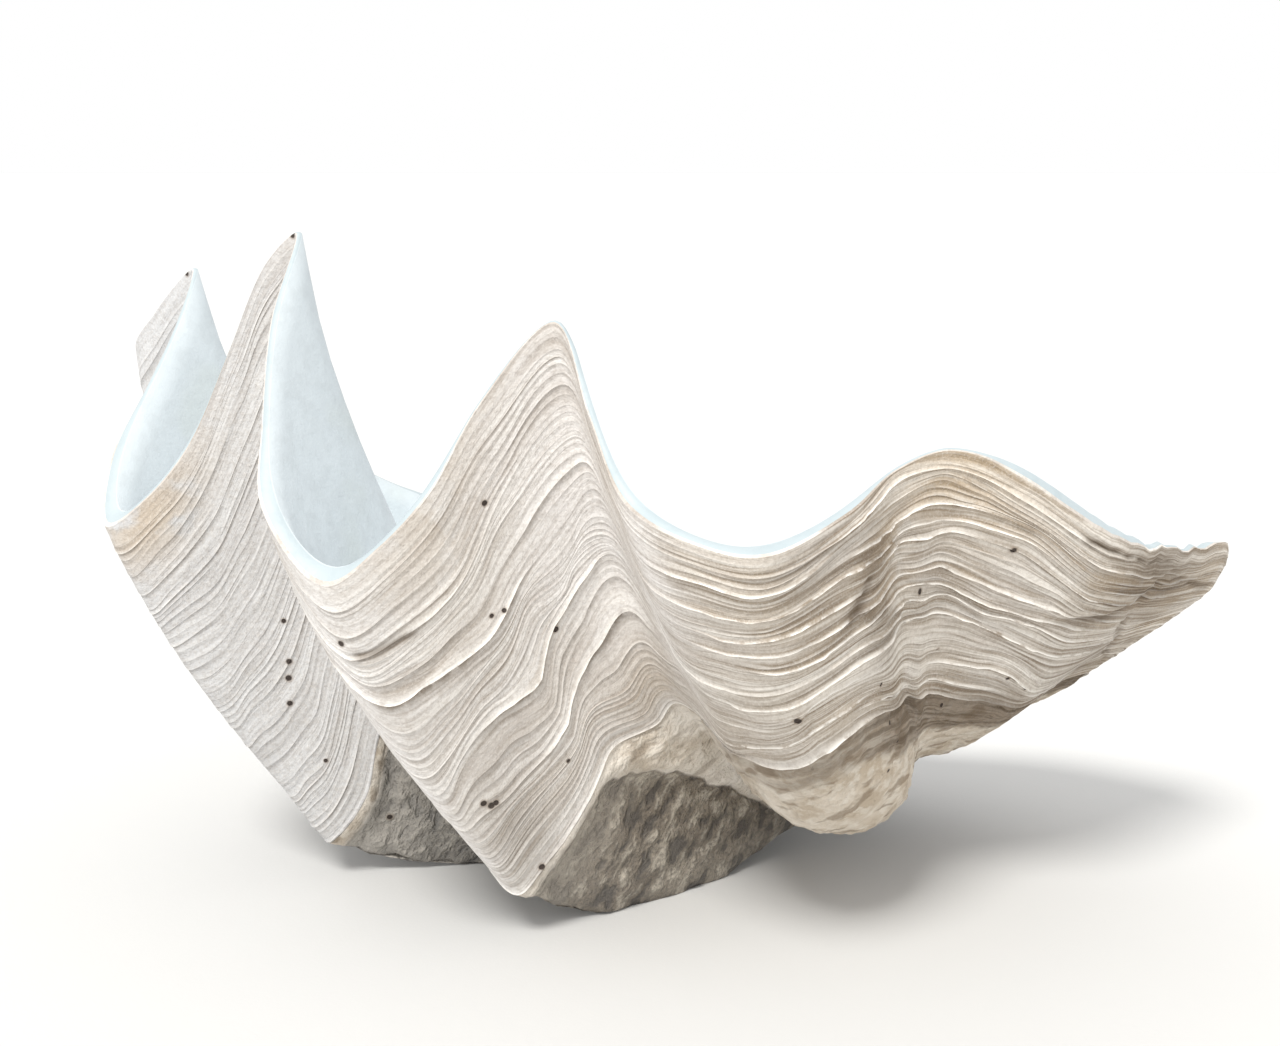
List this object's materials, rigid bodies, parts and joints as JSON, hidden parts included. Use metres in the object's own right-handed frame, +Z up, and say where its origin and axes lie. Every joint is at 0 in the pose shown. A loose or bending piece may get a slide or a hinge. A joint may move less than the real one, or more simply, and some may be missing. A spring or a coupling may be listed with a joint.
{
  "type": "giant clam shell",
  "caption": "Single fluted bivalve shell valve, a deep open bowl with folded wavy rim and layered growth ridges, resting on its ribs.",
  "frame": {"origin": "on the ground, under the middle of the shell's bounding box", "axes": "+X along the long side of the rim, towards its narrow low end; +Y towards the hinge; +Z up, out of the bowl"},
  "size_m": [0.8538, 0.6154, 0.5041],
  "materials": {
    "shell": "chalky layered shell outside, smooth porcelain-like shell inside"
  },
  "bodies": {
    "root": {"clam_valve": "shell"}
  },
  "joints": []
}
